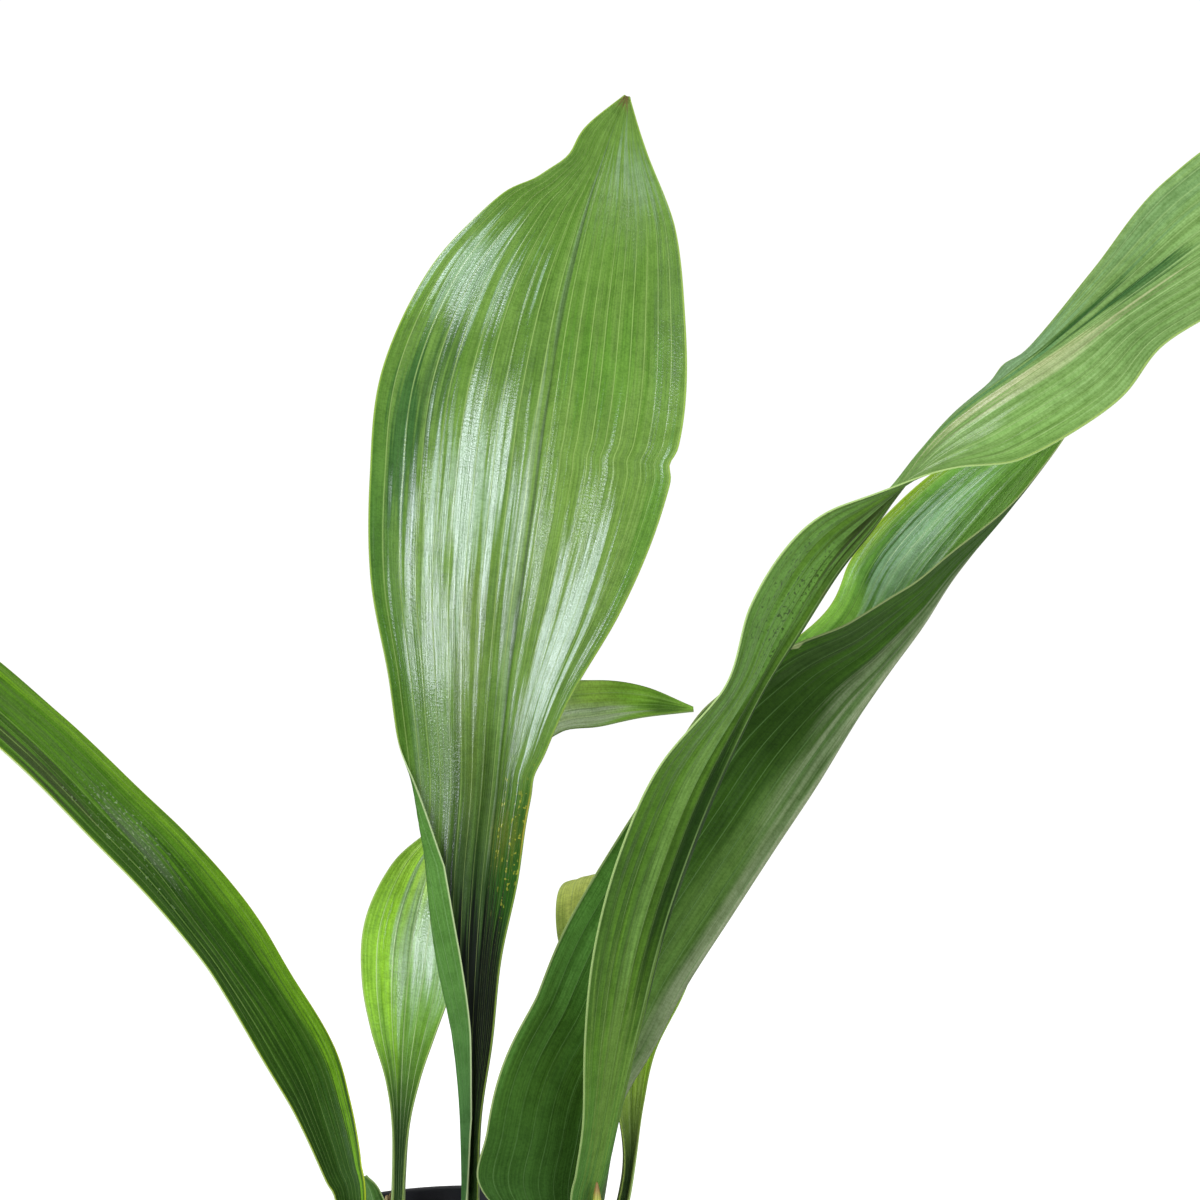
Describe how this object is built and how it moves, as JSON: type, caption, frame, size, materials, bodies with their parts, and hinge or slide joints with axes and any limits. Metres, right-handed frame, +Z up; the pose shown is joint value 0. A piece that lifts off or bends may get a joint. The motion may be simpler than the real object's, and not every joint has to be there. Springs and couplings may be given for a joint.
{
  "type": "potted cast iron plant",
  "caption": "Cast iron plant with an upright blade, an arching one, folded and twisted ones and small ones, on a creeping rhizome in a round tapered nursery pot of soil.",
  "frame": {"origin": "centre of the pot's flat underside, on the surface that it stands on", "axes": "+Z up along the pot's axis; +X to the right of the plant's front view, towards the twisted leaf; the front faces -Y"},
  "size_m": [0.7223, 0.3163, 0.6125],
  "materials": {
    "pot": "satin",
    "soil": "matte",
    "rhizome": "matte",
    "leaf": "satin",
    "young_leaf": "satin",
    "sheath": "matte",
    "bud": "matte"
  },
  "bodies": {
    "root": {"pot": "pot", "soil": "soil", "rhizome": "rhizome", "leaf_tall_upright": "leaf", "leaf_left_arching": "leaf", "leaf_back_left": "young_leaf", "leaf_small_bent": "young_leaf", "leaf_back_arching": "young_leaf", "leaf_right_twisted": "leaf", "leaf_right_broad": "leaf", "leaf_left_young": "young_leaf", "sheath_tall_upright": "sheath", "sheath_left_arching": "sheath", "sheath_back_left": "sheath", "sheath_small_bent": "sheath", "sheath_back_arching": "sheath", "sheath_right_twisted": "sheath", "shoot_bud": "bud"}
  },
  "joints": []
}
